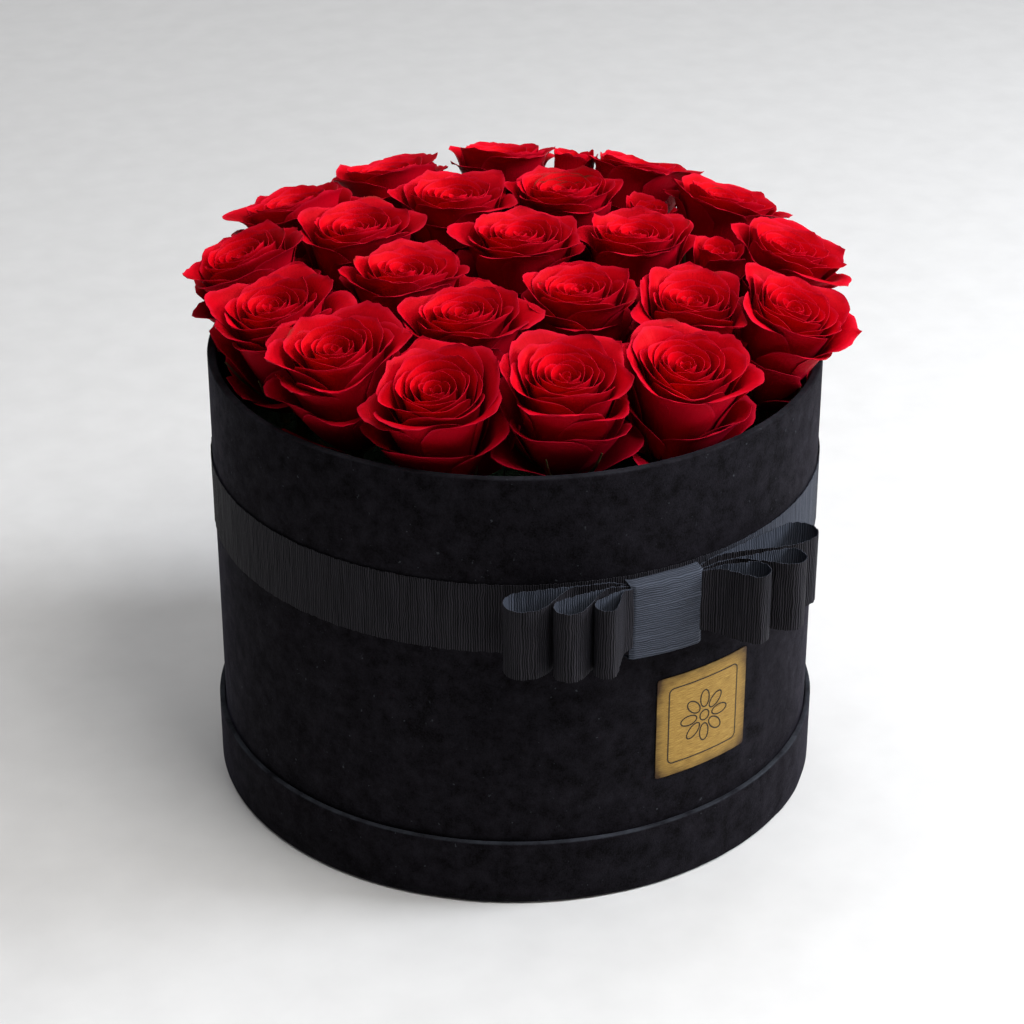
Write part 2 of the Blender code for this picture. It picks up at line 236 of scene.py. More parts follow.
def ramp(tree, value, *stops):
    """Colour ramp of (position, colour) stops; a colour may be one grey number."""
    made = node(tree, "ShaderNodeValToRGB")
    elements = made.color_ramp.elements
    while len(elements) < len(stops):
        elements.new(0.5)
    for element, (place, colour) in zip(elements, stops):
        element.position = place
        colour = (colour,) * 3 if isinstance(colour, (int, float)) else colour
        element.color = (*colour, 1)
    tree.links.new(value, made.inputs["Fac"])
    return made.outputs["Color"]


def mix(tree, share, first, second, blend="MIX"):
    """Mixed colour; each argument is a socket or a value."""
    made = node(tree, "ShaderNodeMix", data_type="RGBA", blend_type=blend)
    for socket, value in ((made.inputs[0], share), (made.inputs[6], first), (made.inputs[7], second)):
        if isinstance(value, bpy.types.NodeSocket):
            tree.links.new(value, socket)
        elif isinstance(value, tuple):
            socket.default_value = (*value, 1)
        else:
            socket.default_value = value
    return made.outputs[2]


def maths(tree, operation, first, second=0.0):
    made = node(tree, "ShaderNodeMath", operation=operation)
    for socket, value in zip(made.inputs, (first, second)):
        if isinstance(value, bpy.types.NodeSocket):
            tree.links.new(value, socket)
        else:
            socket.default_value = value
    return made.outputs[0]


def stretched(tree, vector, scale):
    """Coordinates scaled along each axis."""
    made = node(tree, "ShaderNodeMapping")
    made.inputs["Scale"].default_value = scale
    tree.links.new(vector, made.inputs["Vector"])
    return made.outputs["Vector"]


def bump(tree, shader, height, distance, strength=1.0):
    made = node(tree, "ShaderNodeBump")
    made.inputs["Distance"].default_value = distance
    made.inputs["Strength"].default_value = strength
    tree.links.new(height, made.inputs["Height"])
    tree.links.new(made.outputs["Normal"], shader.inputs["Normal"])


def place(tree):
    """Coordinates on the object itself, in metres."""
    return node(tree, "ShaderNodeTexCoord").outputs["Object"]


def velvet_paper():
    """Black flock: soft mottling, a grazing sheen, a few pale specks of lint, and a lighter band along the
    rim that is a painted highlight.
    """
    made, tree, shader = new_material("velvet_paper")
    here = place(tree)
    mottle = noise_node(tree, here, 110, 7, 0.78)
    nap = noise_node(tree, here, 1300, 2, 0.6)
    tone = maths(tree, "ADD", maths(tree, "MULTIPLY", mottle, 0.7), maths(tree, "MULTIPLY", nap, 0.3))
    base = ramp(tree, tone, (0.38, (0.002, 0.0016, 0.002)), (0.62, (0.0118, 0.0106, 0.014)))
    lint = ramp(tree, noise_node(tree, here, 330, 2, 0.7), (0.7, 0.0), (0.76, 1.0))
    lint = maths(tree, "MULTIPLY", lint, 0.24)
    # A lighter grey band along the rim, broken up by noise: a painted highlight, standing in for light
    # caught by the paper's rolled edge.
    painted_rim_highlight = node(tree, "ShaderNodeAttribute", attribute_name="painted_rim_highlight").outputs["Fac"]
    painted_highlight_amount = ramp(tree, noise_node(tree, here, 60, 4, 0.7), (0.35, 0.15), (0.65, 1.0))
    base = mix(tree, maths(tree, "MULTIPLY", painted_rim_highlight, painted_highlight_amount), base, (0.05, 0.056, 0.068))
    tree.links.new(mix(tree, lint, base, (0.14, 0.15, 0.17)), shader.inputs["Base Color"])
    tree.links.new(ramp(tree, mottle, (0.3, 0.9), (0.7, 0.7)), shader.inputs["Roughness"])
    shader.inputs["Specular IOR Level"].default_value = 0.04
    shader.inputs["Sheen Weight"].default_value = 0.05
    shader.inputs["Sheen Roughness"].default_value = 0.3
    shader.inputs["Sheen Tint"].default_value = (0.62, 0.58, 0.9, 1)
    bump(tree, shader, tone, 0.0005, 0.7)
    return made


def grey_board():
    """Grey-brown board with fibres."""
    made, tree, shader = new_material("grey_board")
    here = place(tree)
    fibres = noise_node(tree, stretched(tree, here, (1, 1, 0.25)), 700, 4, 0.7)
    base = ramp(tree, fibres, (0.3, (0.2, 0.18, 0.155)), (0.7, (0.36, 0.33, 0.29)))
    tree.links.new(base, shader.inputs["Base Color"])
    shader.inputs["Roughness"].default_value = 0.88
    bump(tree, shader, fibres, 0.0001, 0.5)
    return made


def lining_paper():
    """Matt black paper inside the box."""
    made, tree, shader = new_material("lining_paper")
    here = place(tree)
    grain = noise_node(tree, here, 900, 4, 0.6)
    tree.links.new(ramp(tree, grain, (0.3, 0.018), (0.7, 0.035)), shader.inputs["Base Color"])
    shader.inputs["Roughness"].default_value = 0.78
    bump(tree, shader, grain, 0.00008, 0.5)
    return made


def pan_plastic():
    """Dark green plastic, drawn out down the wall."""
    made, tree, shader = new_material("pan_plastic")
    here = place(tree)
    drawn = noise_node(tree, stretched(tree, here, (1, 1, 0.12)), 160, 3, 0.5)
    base = ramp(tree, drawn, (0.3, (0.008, 0.028, 0.014)), (0.7, (0.016, 0.048, 0.024)))
    tree.links.new(base, shader.inputs["Base Color"])
    tree.links.new(ramp(tree, drawn, (0.3, 0.34), (0.7, 0.5)), shader.inputs["Roughness"])
    bump(tree, shader, noise_node(tree, here, 260, 2, 0.5), 0.0002, 0.3)
    return made


def flower_foam():
    """Wet green foam with open cells; its green is darkened overall and its cells darker still, as painted
    shade.
    """
    made, tree, shader = new_material("flower_foam")
    here = place(tree)
    cells = node(tree, "ShaderNodeTexVoronoi", feature="F1")
    cells.inputs["Scale"].default_value = 900
    tree.links.new(here, cells.inputs["Vector"])
    pore_depth_and_shade = ramp(tree, cells.outputs["Distance"], (0.1, 0.0), (0.55, 1.0))
    tone = noise_node(tree, here, 45, 4, 0.6)
    # Green darkened overall: painted shade, so the foam reads as the dark gaps between the blooms.
    base = ramp(tree, tone, (0.3, (0.008, 0.032, 0.009)), (0.7, (0.016, 0.052, 0.015)))
    # The cells' pits are painted darker still: painted shade.
    tree.links.new(mix(tree, pore_depth_and_shade, (0.003, 0.012, 0.004), base), shader.inputs["Base Color"])
    shader.inputs["Roughness"].default_value = 0.82
    bump(tree, shader, pore_depth_and_shade, 0.0006, 0.8)
    return made


def ribbon_cloth():
    """Charcoal crepe; its fine folds run across the strip and wander a little, their crests painted
    lighter and their hollows darker: painted highlight and painted shade.
    """
    made, tree, shader = new_material("ribbon_cloth")
    spot = node(tree, "ShaderNodeAttribute", attribute_name="strip").outputs["Vector"]
    drift = noise_node(tree, stretched(tree, spot, (0.11, 0.16, 1)), 1.0, 3, 0.5)
    split = node(tree, "ShaderNodeSeparateXYZ")
    tree.links.new(spot, split.inputs[0])
    join = node(tree, "ShaderNodeCombineXYZ")
    moved = maths(tree, "ADD", split.outputs[0], maths(tree, "MULTIPLY", drift, 1.6))
    tree.links.new(moved, join.inputs[0])
    tree.links.new(maths(tree, "MULTIPLY", split.outputs[1], 0.05), join.inputs[1])
    wave = node(tree, "ShaderNodeTexWave", wave_type="BANDS", bands_direction="X")
    tree.links.new(join.outputs[0], wave.inputs["Vector"])
    for socket, value in (("Scale", 0.3), ("Distortion", 4.5), ("Detail", 2.0), ("Detail Scale", 1.2)):
        wave.inputs[socket].default_value = value
    patches = noise_node(tree, join.outputs[0], 0.5, 2, 0.5)
    ridge_bump_and_painted_light = maths(tree, "ADD", maths(tree, "MULTIPLY", wave.outputs["Fac"], 0.6),
                   maths(tree, "MULTIPLY", patches, 0.4))
    weave = noise_node(tree, stretched(tree, spot, (3.5, 5.0, 1)), 1.0, 2, 0.6)
    # Both colours go from near black in the hollows of the folds to lighter on their crests: painted shade
    # and painted highlight.
    dull = ramp(tree, ridge_bump_and_painted_light, (0.2, (0.0010, 0.0009, 0.0011)), (0.85, (0.034, 0.031, 0.038)))
    clear = ramp(tree, ridge_bump_and_painted_light, (0.1, (0.026, 0.03, 0.04)), (0.85, (0.088, 0.1, 0.132)))
    # Share of the lighter bluish colour; on the band it is lowered at the far right as painted shade.
    satin_and_shade = node(tree, "ShaderNodeAttribute", attribute_name="satin_and_shade").outputs["Fac"]
    base = mix(tree, satin_and_shade, dull, clear)
    base = mix(tree, maths(tree, "MULTIPLY", weave, 0.3), base, (0.008, 0.009, 0.011))
    tree.links.new(base, shader.inputs["Base Color"])
    tree.links.new(ramp(tree, ridge_bump_and_painted_light, (0.2, 0.75), (0.8, 0.5)), shader.inputs["Roughness"])
    shader.inputs["Specular IOR Level"].default_value = 0.07
    shader.inputs["Sheen Weight"].default_value = 0.008
    shader.inputs["Sheen Roughness"].default_value = 0.4
    shader.inputs["Sheen Tint"].default_value = (0.55, 0.66, 0.95, 1)
    bump(tree, shader, maths(tree, "ADD", ridge_bump_and_painted_light, maths(tree, "MULTIPLY", weave, 0.15)), 0.0005, 1.0)
    return made


def gold_foil():
    """Brushed gold with burnt corners."""
    made, tree, shader = new_material("gold_foil")
    spot = node(tree, "ShaderNodeAttribute", attribute_name="plate").outputs["Vector"]
    brushed = noise_node(tree, stretched(tree, spot, (1.2, 30, 1)), 4, 5, 0.65)
    split = node(tree, "ShaderNodeSeparateXYZ")
    tree.links.new(spot, split.inputs[0])
    across = maths(tree, "POWER", maths(tree, "ABSOLUTE", split.outputs[0]), 5.0)
    upward = maths(tree, "POWER", maths(tree, "ABSOLUTE", split.outputs[1]), 5.0)
    edge = maths(tree, "ADD", across, upward)
    cloud = noise_node(tree, spot, 2.2, 4, 0.6)
    burnt = maths(tree, "MULTIPLY", edge, cloud)
    shade = ramp(tree, burnt, (0.1, 0.0), (0.8, 1.0))
    gold = ramp(tree, brushed, (0.34, (0.2, 0.105, 0.02)), (0.66, (0.56, 0.36, 0.095)))
    tree.links.new(mix(tree, shade, gold, (0.05, 0.025, 0.01)), shader.inputs["Base Color"])
    tree.links.new(ramp(tree, brushed, (0.3, 0.5), (0.7, 0.62)), shader.inputs["Roughness"])
    shader.inputs["Metallic"].default_value = 0.75
    bump(tree, shader, brushed, 0.00005, 0.5)
    return made


def engraving():
    """Dark brown lines cut into the foil."""
    made, tree, shader = new_material("engraving")
    tone = noise_node(tree, place(tree), 900, 2, 0.6)
    tree.links.new(ramp(tree, tone, (0.3, (0.02, 0.012, 0.005)), (0.7, (0.05, 0.032, 0.014))),
                   shader.inputs["Base Color"])
    shader.inputs["Roughness"].default_value = 0.6
    shader.inputs["Metallic"].default_value = 0.4
    return made


def petal_skin():
    """Velvety red petal with fine veins and a darker outside; darker towards its root and on the low guard
    petals, both painted shade; a ragged pinker edge, partly its own magenta and partly a painted
    highlight, browned in places.
    """
    made, tree, shader = new_material("petal_skin")
    spot = node(tree, "ShaderNodeAttribute", attribute_name="petal").outputs["Vector"]
    split = node(tree, "ShaderNodeSeparateXYZ")
    tree.links.new(spot, split.inputs[0])
    along = split.outputs[1]
    face = node(tree, "ShaderNodeAttribute", attribute_name="face").outputs["Vector"]
    sides = node(tree, "ShaderNodeSeparateXYZ")
    tree.links.new(face, sides.inputs[0])
    here = place(tree)
    blotch = noise_node(tree, here, 95, 4, 0.6)
    veins = noise_node(tree, stretched(tree, spot, (30, 2.5, 40)), 1.0, 3, 0.6)
    body = ramp(tree, blotch, (0.28, (0.56, 0.0, 0.003)), (0.72, (0.8, 0.0, 0.008)))
    veined = mix(tree, maths(tree, "MULTIPLY", veins, 0.25), body, (0.36, 0.0, 0.004))
    # Darker towards the root, deep in the cup: painted shade.
    painted_root_shade = mix(tree, ramp(tree, along, (0.4, 1.0), (0.92, 0.0)), veined, (0.12, 0.0, 0.001))
    outer = mix(tree, maths(tree, "MULTIPLY", sides.outputs[0], 0.4), painted_root_shade, (0.42, 0.0, 0.014))
    # Darker by the petal's shade value, most on the lowest guard petals deep between the blooms: painted
    # shade there.
    shaded = mix(tree, sides.outputs[1], outer, (0.2, 0.0, 0.008))
    ragged = maths(tree, "ADD", along, maths(tree, "MULTIPLY", blotch, 0.012))
    # A thin pinker edge: partly the petal's own magenta edge, partly a painted highlight where the rims
    # catch light.
    rim = ramp(tree, ragged, (0.97, 0.0), (1.0, 1.0))
    edge_tint_and_highlight = mix(tree, maths(tree, "MULTIPLY", rim, 0.5), shaded, (0.6, 0.008, 0.035))
    old = ramp(tree, noise_node(tree, here, 26, 3, 0.6), (0.64, 0.0), (0.72, 1.0))
    tips = maths(tree, "MULTIPLY", rim, old)
    tree.links.new(mix(tree, tips, edge_tint_and_highlight, (0.12, 0.02, 0.008)), shader.inputs["Base Color"])
    tree.links.new(ramp(tree, blotch, (0.3, 0.66), (0.7, 0.5)), shader.inputs["Roughness"])
    shader.inputs["Specular IOR Level"].default_value = 0.035
    shader.inputs["Sheen Weight"].default_value = 0.02
    shader.inputs["Sheen Roughness"].default_value = 0.4
    shader.inputs["Sheen Tint"].default_value = (1.0, 0.03, 0.25, 1)
    bump(tree, shader, veins, 0.0003, 0.4)
    return made


def green_skin():
    """Stem and sepal: green, browner towards the tips."""
    made, tree, shader = new_material("green_skin")
    here = place(tree)
    tone = noise_node(tree, here, 110, 4, 0.6)
    base = ramp(tree, tone, (0.32, (0.02, 0.045, 0.008)), (0.55, (0.07, 0.06, 0.014)),
                (0.75, (0.13, 0.035, 0.012)))
    tree.links.new(base, shader.inputs["Base Color"])
    shader.inputs["Roughness"].default_value = 0.55
    bump(tree, shader, noise_node(tree, here, 700, 2, 0.6), 0.0002, 0.5)
    return made


VELVET = velvet_paper()
BOARD = grey_board()
LINING = lining_paper()
PLASTIC = pan_plastic()
FOAM = flower_foam()
RIBBON = ribbon_cloth()
GOLD = gold_foil()
ENGRAVED = engraving()
PETAL = petal_skin()
GREEN = green_skin()


# ---------------------------------------------------------------- box, lid and pan

def levels(name):
    """(inner radius, outer radius, bottom, top) of a round CAD node."""
    co = np.array([v.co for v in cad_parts[name].data.vertices])
    r = np.hypot(co[:, 0], co[:, 1])
    return r.min(), r.max(), co[:, 2].min(), co[:, 2].max()


def paper_wobble(depth, seed):
    """Slight unevenness of paper glued on board."""
    def wobble(azimuth, z):
        turn = np.radians(azimuth)
        lobes = noise2(6 * np.cos(turn) + 20, 6 * np.sin(turn) + 20 + 14 * z, seed)
        fine = noise2(31 * np.cos(turn) + 90, 31 * np.sin(turn) + 90 + 60 * z, seed + 1)
        return depth * (0.7 * lobes + 0.3 * fine)
    return wobble


def add_cover(name, inside_bottom, body, roll, painted_highlight_amount, lap=None):
    """Velvet paper that goes up the outside, over a soft rim and down the inside.

    The fifth argument, 0 to 1, is the strength of the painted highlight along its rim, a lighter
    band standing in for light caught by the rolled edge. A lap is the azimuth where the end of
    the paper lies on its beginning.
    """
    inner, outer, bottom, top = levels(name)
    paper = 0.4 * MM
    outline = filleted((
        (outer, bottom, 0.3 * MM),
        (outer, top, roll),
        (inner, top, roll),
        (inner, inside_bottom, 0),
        (inner + paper, inside_bottom, 0),
        (inner + paper, top - paper, 0.8 * roll),
        (outer - paper, top - paper, 0.8 * roll),
        (outer - paper, bottom, 0),
    ))
    points, quads = turned(fine_rows(outline, 7 * MM), 288, paper_wobble(0.16 * MM, 11))
    if lap is not None:
        radius = np.hypot(points[:, 0], points[:, 1])
        azimuth = np.degrees(np.arctan2(points[:, 0], -points[:, 1]))
        raised = smooth(lap, lap + 1.2, azimuth) * smooth(lap + 14, lap + 8, azimuth)
        crease = np.exp(-((points[:, 2] - bottom - 2.2 * MM) / (0.8 * MM)) ** 2)
        outside = radius > outer - 0.8 * MM
        points[:, :2] *= 1 + (outside * (0.45 * raised - 0.25 * crease) * MM / radius)[:, None]
    # Lighter band on the top of the rim: a painted highlight.
    painted_rim_highlight = painted_highlight_amount * smooth(top - 0.8 * MM, top - 0.1 * MM, points[:, 2])
    mesh_piece(name + "_paper", points, quads, VELVET, body, (name,),
               {"painted_rim_highlight": np.stack([painted_rim_highlight, painted_rim_highlight, painted_rim_highlight], -1)})


def add_round(name, finish, body, fillet):
    """Plain turned board or paper tube, with its corners just broken."""
    inner, outer, bottom, top = levels(name)
    if inner < outer / 2:
        outline = filleted(((outer, bottom, fillet), (outer, top, fillet)))
        outline = np.concatenate([outline, [[0.0005, top], [0.0005, bottom]]])
    else:
        outline = filleted(((outer, bottom, fillet), (outer, top, fillet),
                            (inner, top, fillet), (inner, bottom, fillet)))
    points, quads = turned(fine_rows(outline, 12 * MM), 216)
    mesh_piece(name + "_turned", points, quads, finish, body, (name,))


def add_pan():
    """Vacuum-formed pan: rolled lip, shallow ribs round its wall."""
    outer, bottom, top = levels("liner_pan")[1:]
    wall = 0.8 * MM
    middle = 0.5 * MM
    outline = filleted((
        (outer, bottom, 1.5 * MM),
        (outer, top, 0.35 * MM),
        (outer - wall, top, 0.35 * MM),
        (outer - wall, bottom + wall, 1.2 * MM),
        (middle, bottom + wall, 0),
        (middle, bottom, 0),
    ))

    def ribs(azimuth, z):
        ring = np.abs(((z - bottom) / (28 * MM)) % 1 - 0.5)
        return -0.25 * MM * smooth(0.43, 0.5, ring) * (z > bottom + 3 * MM) * (z < top - 3 * MM)
    points, quads = turned(fine_rows(outline, 1.6 * MM), 216, ribs)
    mesh_piece("liner_pan_formed", points, quads, PLASTIC, "insert", ("liner_pan",))


def add_casings():
    rim = levels("box_cover")[3]
    # The fifth number of each cover is the strength of its painted rim highlight: faint on the box,
    # stronger on the lid.
    add_cover("box_cover", rim - 20 * MM, "box", 1.1 * MM, 0.15)
    lid_top = levels("lid_cover")[3]
    add_cover("lid_cover", lid_top - 14 * MM, "lid", 0.9 * MM, 0.7, lap=33)
    add_round("box_wall", BOARD, "box", 0.2 * MM)
    add_round("box_floor", BOARD, "box", 0.2 * MM)
    add_round("box_lining", LINING, "box", 0.1 * MM)
    add_round("lid_wall", BOARD, "lid", 0.2 * MM)
    add_round("lid_panel", BOARD, "lid", 0.2 * MM)
    add_pan()
    for name in ("foam_lower_left", "foam_lower_right", "foam_upper_front", "foam_upper_back"):
        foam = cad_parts[name]
        foam.data.materials.clear()
        foam.data.materials.append(FOAM)


# ---------------------------------------------------------------- ribbon

def crinkle(along, across, seed):
    """Height of the crepe's broader wavy folds, from about -1 to 1; both in millimetres."""
    drift = 1.3 * noise2(across / 7, along / 11, seed) + 0.5 * noise2(across / 3, along / 6, seed + 1)
    fine = noise2((along + drift) / 1.1, across / 15, seed + 2)
    broad = noise2((along + 1.6 * drift) / 2.8, across / 22, seed + 3)
    return 0.5 * fine + 0.65 * broad


def ribbon_grid(path, bottom, top, depth, seed, closed=False):
    """Upright crinkled strip along a plan path, and its (along, across) places in mm."""
    count = len(path)
    if closed:
        ahead = np.roll(path, -1, 0) - np.roll(path, 1, 0)
    else:
        ahead = np.gradient(path, axis=0)
    normal = np.stack([ahead[:, 1], -ahead[:, 0]], 1)
    normal /= np.linalg.norm(normal, axis=1, keepdims=True)
    steps = np.linalg.norm(np.diff(path, axis=0), axis=1)
    along = np.concatenate([[0], np.cumsum(steps)])[:, None] / MM
    share = np.linspace(0, 1, 23)[None, :]
    low = np.broadcast_to(np.asarray(bottom, float), count)[:, None]
    high = np.broadcast_to(np.asarray(top, float), count)[:, None]
    height = low + (high - low) * share
    fray = 0.3 * MM * noise2(along / 1.2, share * 0 + 3, seed + 7)
    height = height + fray * (2 * np.abs(share - 0.5)) ** 6
    deep = np.broadcast_to(np.asarray(depth, float), count)[:, None]
    bulge = deep * crinkle(along + 0 * share, height / MM, seed)
    x = path[:, 0][:, None] + normal[:, 0][:, None] * bulge
    y = path[:, 1][:, None] + normal[:, 1][:, None] * bulge
    spots = np.stack([along + 0 * share, 33 * share + 0 * along, 0 * along + 0 * share + seed], -1)
    return np.stack([x, y, height], -1), spots


def strip_piece(name, grid, spots, node_name, satin_and_shade, wrap=False):
    """Piece of ribbon; the fifth argument gives each of the strip's two faces its share of the lighter
    bluish colour of the ribbon's smooth face, 0 to 1; on the band it also carries painted shade.
    """
    points, quads = shell(grid, 0.3 * MM, wrap)
    face = np.concatenate([(one + 0 * spots[..., 0]).ravel() for one in satin_and_shade])
    spots = spots.reshape(-1, 3)
    return mesh_piece(name, points, quads, RIBBON, "box", (node_name,),
                      {"strip": np.concatenate([spots, spots]), "satin_and_shade": np.stack([face, face, face], -1)})


def add_band():
    """Ribbon stretched round the box, smoother and lighter bluish on the right of the bow; beyond about 50
    degrees that colour is turned down as painted shade.
    """
    inner, outer, bottom, top = levels("ribbon_band")
    middle = 0.5 * (inner + outer) + 0.1 * MM
    count = 1250
    azimuth = 360 * np.arange(count) / count
    path = polar(azimuth, middle, 0)[:, :2]
    satin_and_shade = smooth(5, 25, azimuth) * smooth(130, 100, azimuth)
    grid, spots = ribbon_grid(path, bottom, top, (0.2 - 0.12 * satin_and_shade) * MM, 5, closed=True)
    # Between 42 and 60 degrees the band's share of the lighter colour falls from 0.75 to 0.2: painted
    # shade at the far right.
    face = (0.75 - 0.55 * smooth(42, 60, azimuth))[:, None] * satin_and_shade[:, None]
    band = strip_piece("ribbon_band_crepe", grid, spots, "ribbon_band", (face, face), wrap=True)


# side, layer, and in millimetres how far the nose reaches from the knot's middle, how
# far out the back strand meets the nose, the nose's radius and the length over which
# the front strand draws in behind it
LOOPS = {
    "bow_loop_left_inner": (-1, 0, 73.4, 130.4, 8.4, 27),
    "bow_loop_left_middle": (-1, 1, 56, 144.2, 6.5, 23),
    "bow_loop_left_outer": (-1, 2, 39.7, 150.6, 5.5, 14),
    "bow_loop_right_inner": (1, 0, 78.6, 128.4, 8.6, 46),
    "bow_loop_right_middle": (1, 1, 62.6, 147.2, 7, 24),
    "bow_loop_right_outer": (1, 2, 42.8, 150.6, 7.2, 16),
}


def loop_path(side, layer, reach, back, nose, draw_in):
    """Plan of a loop, from under the knot along its back, round its nose and home."""
    root, least = 14.0, 141.9
    start = 142.0 + 1.3 * layer
    centre = reach - nose

    def behind(across):
        straight = start + (back - start) * (across - root) / (centre - root)
        return np.maximum(straight, np.sqrt(least ** 2 - across ** 2))

    out = np.linspace(root, centre, 60)
    turn = np.linspace(0, pi, 40)[1:-1]
    home = out[::-1]
    swell = smooth(0, 1, (home - centre + draw_in) / draw_in)
    front = behind(home) + 0.6 + (2 * nose - 0.6) * swell
    across = np.concatenate([out, centre + nose * np.sin(turn), home])
    nose_out = behind(np.array([centre]))[0] + nose * (1 - np.cos(turn))
    outwards = np.concatenate([behind(out), nose_out, front])
    return np.stack([side * across, -outwards], 1) * MM


def add_loops():
    """Six loops of the bow, pinched where they meet the knot."""
    for number, (name, sizes) in enumerate(LOOPS.items()):
        low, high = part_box(name)
        path = evenly(loop_path(*sizes), 0.5 * MM)
        out = np.abs(path[:, 0]) / MM
        pinch = 1 - smooth(13, 28, out)
        bottom = low.z + 2.5 * MM * pinch
        top = high.z - 2.5 * MM * pinch
        grid, spots = ribbon_grid(path, bottom, top, (0.22 + 0.1 * pinch) * MM, 40 + 9 * number)
        loop = strip_piece(name + "_crepe", grid, spots, name, (1, 0) if sizes[0] > 0 else (0, 1))


def add_knot():
    """Strip tied round the gathered middle, its folds running across the bow."""
    low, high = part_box("bow_knot")
    top, bottom = high.z, low.z
    front, back = 147.2 * MM, 141.6 * MM
    corner = 1.1 * MM
    bend = np.linspace(0.15, pi / 2, 6)
    tuck = 0.7 * MM
    profile = [(back, top + tuck)]
    for level, turn in ((top - corner, bend), (bottom + corner, pi - bend[::-1])):
        profile += [(front - corner + corner * sin(a), level + corner * cos(a)) for a in turn]
    profile += [(back, bottom - tuck)]
    profile = evenly(np.array(profile), 0.45 * MM)
    across = np.linspace(-17.5, 17.5, 72)[:, None] * MM
    away, height = profile[:, 0][None, :], profile[:, 1][None, :]
    run = 0.45 * np.arange(len(profile))[None, :]
    fold = crinkle(run + 0 * across, across / MM + 40, 300)
    crease = noise2(run / 6, across / MM / 18 + 9, 310)
    edge = smooth(15.5, 17.5, np.abs(across) / MM)
    bow_radius = 0.142
    away = away + (0.22 * fold + 0.3 * crease - 1.1 * edge) * MM - across ** 2 / (2 * bow_radius)
    grid = np.stack(np.broadcast_arrays(across, -away, height), -1)
    spots = np.stack(np.broadcast_arrays(run, across / MM, 300.0), -1)
    knot = strip_piece("bow_knot_wrap", grid, spots, "bow_knot", (1, 1))


# ---------------------------------------------------------------- label

def plate_points(u, v, lift):
    """Points of the label's face: u across and v up, both from -1 to 1; lift off the box."""
    low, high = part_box("label_plate")
    middle = np.degrees(np.arctan2(0.5 * (low.x + high.x), -0.5 * (low.y + high.y)))
    radius = levels("label_plate")[0]
    half_width = 25.5 * MM
    half_turn = np.degrees(half_width / radius)
    height = 0.5 * (low.z + high.z) + v * 0.5 * (high.z - low.z)
    return polar(middle + u * half_turn, radius + lift, height)


def add_label():
    """Foil plate with softened corners."""
    n = 41
    line = np.linspace(-1, 1, n)
    u, v = np.meshgrid(line, line, indexing="ij")
    corner = 0.045
    over_u, over_v = np.abs(u) - (1 - corner), np.abs(v) - (1 - corner)
    both = (over_u > 0) & (over_v > 0)
    far = np.hypot(over_u, over_v)
    pull = np.where(both & (far > corner), corner / np.maximum(far, 1e-9), 1)
    u = np.where(both, np.sign(u) * (1 - corner + over_u * pull), u)
    v = np.where(both, np.sign(v) * (1 - corner + over_v * pull), v)
    grid = plate_points(u, v, 0.2 * MM)
    points, quads = shell(grid, 0.34 * MM)
    spots = np.stack([u, v, 0 * u], -1).reshape(-1, 3)
    mesh_piece("label_foil", points, quads, GOLD, "box", ("label_plate",),
               {"plate": np.concatenate([spots, spots])})


def add_line(name, u, v, closed):
    """Thin engraved line along a path on the label's face."""
    path = np.stack([u, v], 1)
    ahead = np.roll(path, -1, 0) - np.roll(path, 1, 0) if closed else np.gradient(path, axis=0)
    normal = np.stack([-ahead[:, 1], ahead[:, 0]], 1)
    normal /= np.linalg.norm(normal, axis=1, keepdims=True)
    share = np.array([-1.0, 0.0, 1.0])[None, :, None] * 0.013
    both = path[:, None, :] + share * normal[:, None, :]
    points, quads = shell(plate_points(both[..., 0], both[..., 1], 0.4 * MM), 0.1 * MM, wrap=closed)
    mesh_piece(name, points, quads, ENGRAVED, "box")


def add_motif():
    """A plain frame with round corners and a flower of eight petals."""
    side, corner = 0.76, 0.1
    u, v = [], []
    for k in range(4):
        quarter = np.linspace(0, pi / 2, 9) + k * pi / 2
        signs = ((1, 1), (-1, 1), (-1, -1), (1, -1))[k]
        u.extend(signs[0] * (side - corner) + corner * np.cos(quarter))
        v.extend(signs[1] * (side - corner) + corner * np.sin(quarter))
    frame_path = evenly(np.array([u + u[:1], v + v[:1]]).T, 0.04)[:-1]
    add_line("label_frame", frame_path[:, 0], frame_path[:, 1], True)
    turn = np.linspace(0, 2 * pi, 40, endpoint=False)
    for k in range(8):
        lean = k * pi / 4
        away, aside = 0.34 + 0.17 * np.cos(turn), 0.095 * np.sin(turn)
        add_line(f"label_petal_{k + 1}", away * cos(lean) - aside * sin(lean),
                 away * sin(lean) + aside * cos(lean), True)
    add_line("label_heart", 0.1 * np.cos(turn), 0.1 * np.sin(turn), True)


# ---------------------------------------------------------------- roses

ROSES = sorted(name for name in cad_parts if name.startswith("rose_"))
BLOOM = 56 * MM
OPEN = 30.5 * MM
BUD = 16.5 * MM


def bloom_place(name):
    """Centre and axis of a rose's face, read from the flat top of its CAD solid."""
    caps = [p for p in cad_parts[name].data.polygons if p.normal.z > 0.86]
    axis = sum((p.normal * p.area for p in caps), Vector()).normalized()
    centre = sum((p.center * p.area for p in caps), Vector()) / sum(p.area for p in caps)
    return centre, axis


PLACES = {name: bloom_place(name) for name in ROSES}


def full_size(name):
    """Radius of a rose that nothing presses on."""
    return BUD if "bud" in name else OPEN


